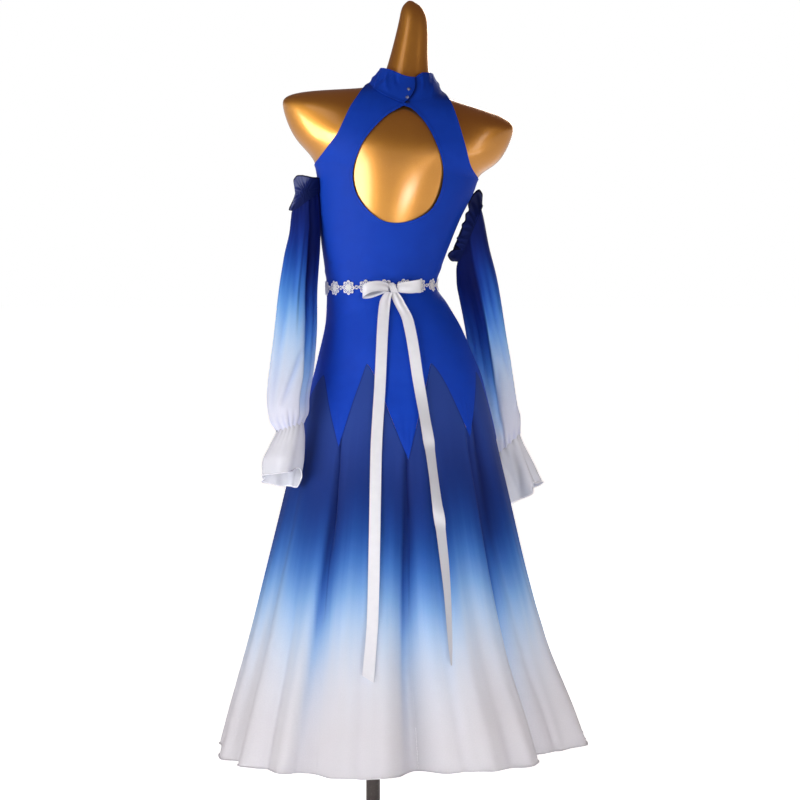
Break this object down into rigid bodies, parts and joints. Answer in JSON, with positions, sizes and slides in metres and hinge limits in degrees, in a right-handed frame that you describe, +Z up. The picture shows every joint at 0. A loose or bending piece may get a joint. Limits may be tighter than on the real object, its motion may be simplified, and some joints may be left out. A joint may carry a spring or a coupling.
{
  "type": "ballroom dance dress on a limbless dress form with a pole stand",
  "caption": "Halter-neck ballroom dance dress with open keyhole back, flared godet skirt and loose bell-cuffed sleeves, worn on a limbless dress form on a pole stand.",
  "frame": {"origin": "centre of the underside of the stand's round base, on the floor under the pole", "axes": "+Z up; the back of the dress faces -Y; +X is to the right seen from behind the dress"},
  "size_m": [0.7301, 0.7271, 1.675],
  "materials": {
    "jersey": "matt stretch jersey, royal blue",
    "ombre_skirt": "sheer chiffon dyed from navy at the top through light blue to greyish white at the hem",
    "ombre_sleeve": "sheer chiffon dyed from navy at the top to greyish white at the wrist",
    "skirt_lining": "thin plain lining dyed to match the skirt",
    "white_frill": "white chiffon",
    "navy_ruffle": "sheer navy chiffon with a rolled edge",
    "lace": "white guipure flower lace",
    "satin_ribbon": "white satin ribbon",
    "crystal": "clear faceted buttons",
    "hook_metal": "black lacquered wire",
    "form_gold": "gold gloss lacquer on a moulded shell",
    "stand_metal": "dark brown satin paint"
  },
  "bodies": {
    "root": {"bodice_back": "jersey", "bodice_front": "jersey", "collar": "jersey", "godet_1": "ombre_skirt", "godet_2": "ombre_skirt", "godet_3": "ombre_skirt", "godet_4": "ombre_skirt", "godet_5": "ombre_skirt", "godet_6": "ombre_skirt", "godet_7": "ombre_skirt", "godet_8": "ombre_skirt", "skirt_lining": "skirt_lining", "sleeve_left": "ombre_sleeve", "sleeve_right": "ombre_sleeve", "sleeve_frill_left": "white_frill", "sleeve_frill_right": "white_frill", "sleeve_ruffle_left": "navy_ruffle", "sleeve_ruffle_right": "navy_ruffle", "belt_trim": "lace", "bow_loop_left": "satin_ribbon", "bow_loop_right": "satin_ribbon", "bow_knot": "satin_ribbon", "ribbon_tail_left": "satin_ribbon", "ribbon_tail_right": "satin_ribbon", "collar_button_1": "crystal", "collar_button_2": "crystal", "collar_hook": "hook_metal", "form_torso": "form_gold", "pole_socket": "stand_metal", "stand_pole": "stand_metal", "stand_base": "stand_metal"}
  },
  "joints": []
}
